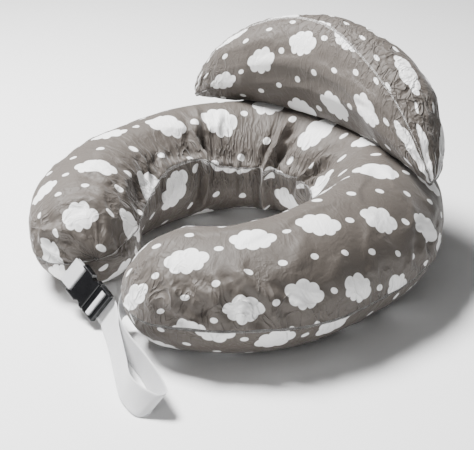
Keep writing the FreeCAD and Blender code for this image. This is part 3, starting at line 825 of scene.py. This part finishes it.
def cloud_mask(g, x, y, odd):
    """1 inside a cloud of round lobes, mirrored in every other row."""
    a, b = turned(g, x, y, PRINT_TURN - LATTICE_TURN)
    a = g.math("MULTIPLY", a, g.math("SUBTRACT", 1.0, g.math("MULTIPLY", odd, 2.0)))
    inside = None
    for at_x, at_y, radius in CLOUD_LOBES:
        dx = g.math("SUBTRACT", a, at_x)
        dy = g.math("SUBTRACT", b, at_y)
        reach = g.math("SQRT", g.math("ADD", g.math("MULTIPLY", dx, dx), g.math("MULTIPLY", dy, dy)))
        lobe = g.math("SUBTRACT", radius, reach)
        inside = lobe if inside is None else g.math("MAXIMUM", inside, lobe)
    return g.ramp(inside, -0.0004, 0.0004)


def dot_mask(g, x, y, wide, high):
    a = g.math("DIVIDE", x, wide)
    b = g.math("DIVIDE", y, high)
    radius = g.math("SQRT", g.math("ADD", g.math("MULTIPLY", a, a), g.math("MULTIPLY", b, b)))
    return g.ramp(g.math("SUBTRACT", 1.0, radius), -0.08, 0.08)


def cotton_material():
    """Taupe cotton with white clouds and dots, fine weave and crease marks."""
    g = Graph("printed_cotton")
    flat = g.separate(g.attribute("print"))
    place = g.position()
    u, v = turned(g, flat[0], flat[1], LATTICE_TURN)
    x, y, odd = lattice(g, u, v, CELL_U, CELL_V, 0.0, LATTICE_SHIFT_V, 0.5)
    mask = cloud_mask(g, x, y, odd)
    for du, dv in ((0.5, 0.0), (0.25, 0.5), (-0.25, 0.5)):
        dx, dy, _ = lattice(g, u, v, CELL_U, CELL_V, -du * CELL_U, LATTICE_SHIFT_V - dv * CELL_V, 0.5)
        dx, dy = turned(g, dx, dy, PRINT_TURN - LATTICE_TURN)
        mask = g.math("MAXIMUM", mask, dot_mask(g, dx, dy, DOT_HALF_WIDTH, DOT_HALF_HEIGHT))
    mottle = g.noise(place, 9.0, 4.0, 0.6)
    ground = g.mix(mottle, COTTON_DARK, COTTON_LIGHT)
    white = g.mix(mottle, PRINT_DARK, PRINT_LIGHT)
    g.link(g.mix(mask, ground, white), g.bsdf.inputs["Base Color"])
    g.bsdf.inputs["Roughness"].default_value = 0.62
    g.bsdf.inputs["Sheen Weight"].default_value = 0.15
    g.bsdf.inputs["Sheen Roughness"].default_value = 0.4
    g.link(cotton_bump(g, flat, place), g.bsdf.inputs["Normal"])
    return g.material


def cotton_bump(g, flat, place):
    """Creases across the seams, crumpling all over and the fine weave."""
    crinkle = g.separate(g.attribute("crinkle"))
    across = g.tree.nodes.new("ShaderNodeCombineXYZ")
    g.link(g.math("MULTIPLY", crinkle[0], 62.0), across.inputs[0])
    g.link(g.math("MULTIPLY", crinkle[1], 2.2), across.inputs[1])
    pleats = g.noise(across.outputs[0], 1.0, 2.0, 0.5, 0.9)
    pleats = g.math("ABSOLUTE", g.math("SUBTRACT", pleats, 0.5))
    pleats = g.math("MULTIPLY", g.math("POWER", pleats, 0.6), crinkle[2])
    crumple = g.math("ABSOLUTE", g.math("SUBTRACT", g.noise(place, 24.0, 5.0, 0.6, 1.6), 0.5))
    fine = g.noise(place, 130.0, 3.0, 0.6, 0.6)
    warp = g.math("SINE", g.math("MULTIPLY", flat[0], 2 * math.pi / WEAVE_PITCH))
    weft = g.math("SINE", g.math("MULTIPLY", flat[1], 2 * math.pi / WEAVE_PITCH))
    height = g.bump(pleats, 0.007, 1.0)
    height = g.bump(g.math("POWER", crumple, 0.7), 0.0035, 0.28, height)
    height = g.bump(fine, 0.0010, 0.45, height)
    return g.bump(g.math("MULTIPLY", warp, weft), 0.0001, 0.3, height)


def webbing_material():
    g = Graph("white_webbing")
    flat = g.separate(g.attribute("weave"))
    place = g.position()
    tint = g.noise(place, 30.0, 3.0)
    g.link(g.mix(tint, WEBBING_DARK, WEBBING_LIGHT), g.bsdf.inputs["Base Color"])
    g.bsdf.inputs["Roughness"].default_value = 0.42
    g.bsdf.inputs["Sheen Weight"].default_value = 0.3
    ribs = g.math("SINE", g.math("MULTIPLY", flat[0], 2 * math.pi / 0.0016))
    cords = g.math("SINE", g.math("MULTIPLY", flat[1], 2 * math.pi / 0.0024))
    weave = g.math("MULTIPLY", ribs, g.math("ADD", g.math("MULTIPLY", cords, 0.4), 0.8))
    height = g.bump(g.noise(place, 22.0, 3.0), 0.004, 0.5)
    height = g.bump(weave, 0.00022, 0.5, height)
    g.link(height, g.bsdf.inputs["Normal"])
    return g.material


def plain_webbing_material():
    """Webbing for frame pieces that carry no weave coordinates."""
    g = Graph("white_webbing_plain")
    place = g.position()
    tint = g.noise(place, 40.0, 3.0)
    g.link(g.mix(tint, WEBBING_DARK, WEBBING_LIGHT), g.bsdf.inputs["Base Color"])
    g.bsdf.inputs["Roughness"].default_value = 0.45
    g.link(g.bump(g.noise(place, 600.0, 2.0), 0.0003, 0.5), g.bsdf.inputs["Normal"])
    return g.material


def plastic_material():
    g = Graph("black_acetal")
    place = g.position()
    wear = g.noise(place, 90.0, 4.0, 0.6)
    g.link(g.mix(wear, (0.003, 0.003, 0.0035, 1), (0.008, 0.008, 0.009, 1)), g.bsdf.inputs["Base Color"])
    g.link(g.math("ADD", g.math("MULTIPLY", wear, 0.16), 0.14), g.bsdf.inputs["Roughness"])
    g.bsdf.inputs["Specular IOR Level"].default_value = 0.4
    g.link(g.bump(g.noise(place, 350.0, 2.0), 0.0002, 0.25), g.bsdf.inputs["Normal"])
    return g.material


def metal_material():
    g = Graph("zip_metal")
    place = g.position()
    wear = g.noise(place, 500.0, 3.0)
    g.link(g.mix(wear, (0.42, 0.41, 0.40, 1), (0.62, 0.61, 0.59, 1)), g.bsdf.inputs["Base Color"])
    g.bsdf.inputs["Metallic"].default_value = 1.0
    g.link(g.math("ADD", g.math("MULTIPLY", wear, 0.25), 0.2), g.bsdf.inputs["Roughness"])
    return g.material


def tape_material(name, dark, light, scale):
    g = Graph(name)
    place = g.position()
    tint = g.noise(place, scale, 3.0)
    g.link(g.mix(tint, dark, light), g.bsdf.inputs["Base Color"])
    g.bsdf.inputs["Roughness"].default_value = 0.8
    g.link(g.bump(g.noise(place, scale * 2.0, 2.0), 0.0004, 0.5), g.bsdf.inputs["Normal"])
    return g.material


def paint(obj, material):
    obj.data.materials.clear()
    obj.data.materials.append(material)


def paint_node(node, material):
    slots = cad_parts[node].material_slots
    for slot in slots:
        slot.material = material


# ---- stage ----

def make_stage():
    w = FLOOR_HALF_WIDTH
    floor = new_object("floor", [(-w, -w, 0), (w, -w, 0), (w, w, 0), (-w, w, 0)], [(0, 1, 2, 3)])
    g = Graph("floor")
    g.bsdf.inputs["Base Color"].default_value = (0.90, 0.90, 0.90, 1)
    g.bsdf.inputs["Roughness"].default_value = 0.9
    paint(floor, g.material)
    world = bpy.data.worlds.new("studio")
    world.use_nodes = True
    world.node_tree.nodes["Background"].inputs[0].default_value = (1, 1, 1, 1)
    world.node_tree.nodes["Background"].inputs[1].default_value = 0.16
    bpy.context.scene.world = world
    add_area("key", (-0.9, -0.5, 2.1), 0.7, 225)
    add_area("fill", (0.6, -2.0, 0.9), 1.2, 8)


def add_area(name, at, size, power):
    data = bpy.data.lights.new(name, "AREA")
    data.size = size
    data.energy = power
    lamp = bpy.data.objects.new(name, data)
    lamp.location = at
    lamp.rotation_euler = (Vector((0, 0, 0.1)) - Vector(at)).to_track_quat("-Z", "Y").to_euler()
    bpy.context.scene.collection.objects.link(lamp)


def make_camera():
    level = math.cos(CAMERA_ELEVATION)
    back = Vector((math.sin(CAMERA_AZIMUTH) * level, -math.cos(CAMERA_AZIMUTH) * level,
                   math.sin(CAMERA_ELEVATION)))
    data = bpy.data.cameras.new("camera")
    data.lens = 75.94
    data.sensor_width = 36.0
    data.shift_x = 0.0041
    data.shift_y = -0.0427
    camera = bpy.data.objects.new("camera", data)
    camera.location = Vector(CAMERA_TARGET) + back * CAMERA_DISTANCE
    camera.rotation_euler = back.to_track_quat("Z", "Y").to_euler()
    bpy.context.scene.collection.objects.link(camera)
    bpy.context.scene.camera = camera


def main():
    make_camera()
    make_stage()
    cotton = cotton_material()
    webbing = webbing_material()
    upper, lower = split_panels(make_ring(), ("ring_upper_panel", "ring_lower_panel"), ring_is_upper)
    for panel, nodes in ((upper, ("ring_cover_upper", "ring_inner_casing", "ring_filling")),
                         (lower, ("ring_cover_lower",))):
        paint(panel, cotton)
        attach(panel, "pillow")
        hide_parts(*nodes)
    front, back = split_panels(make_bolster(upper), ("bolster_front_panel", "bolster_back_panel"),
                               bolster_is_front)
    for panel, nodes in ((front, ("bolster_cover_front", "bolster_inner_casing", "bolster_filling")),
                         (back, ("bolster_cover_back",))):
        paint(panel, cotton)
        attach(panel, "bolster")
        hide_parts(*nodes)
    paint(make_strap(), webbing)
    plain = plain_webbing_material()
    plastic = plastic_material()
    metal = metal_material()
    tape = tape_material("zip_tape", (0.095, 0.080, 0.068, 1), (0.120, 0.103, 0.089, 1), 300.0)
    coil = tape_material("zip_coil", (0.085, 0.072, 0.061, 1), (0.115, 0.098, 0.085, 1), 500.0)
    hook = tape_material("hook_and_loop", (0.095, 0.082, 0.072, 1), (0.130, 0.112, 0.099, 1), 400.0)
    for names, material in (
            (("buckle_socket", "buckle_plug", "release_arm_upper", "release_arm_lower"), plastic),
            (("socket_webbing", "adjuster_webbing"), plain),
            (("ring_zip_slider", "ring_zip_pull", "ring_zip_stops", "bolster_zip_slider", "bolster_zip_pull",
              "bolster_zip_stops"), metal),
            (("ring_zip_tapes", "bolster_zip_tapes"), tape),
            (("ring_zip_coil", "bolster_zip_coil"), coil),
            (("hook_patches", "loop_patches"), hook)):
        for name in names:
            paint_node(name, material)


main()
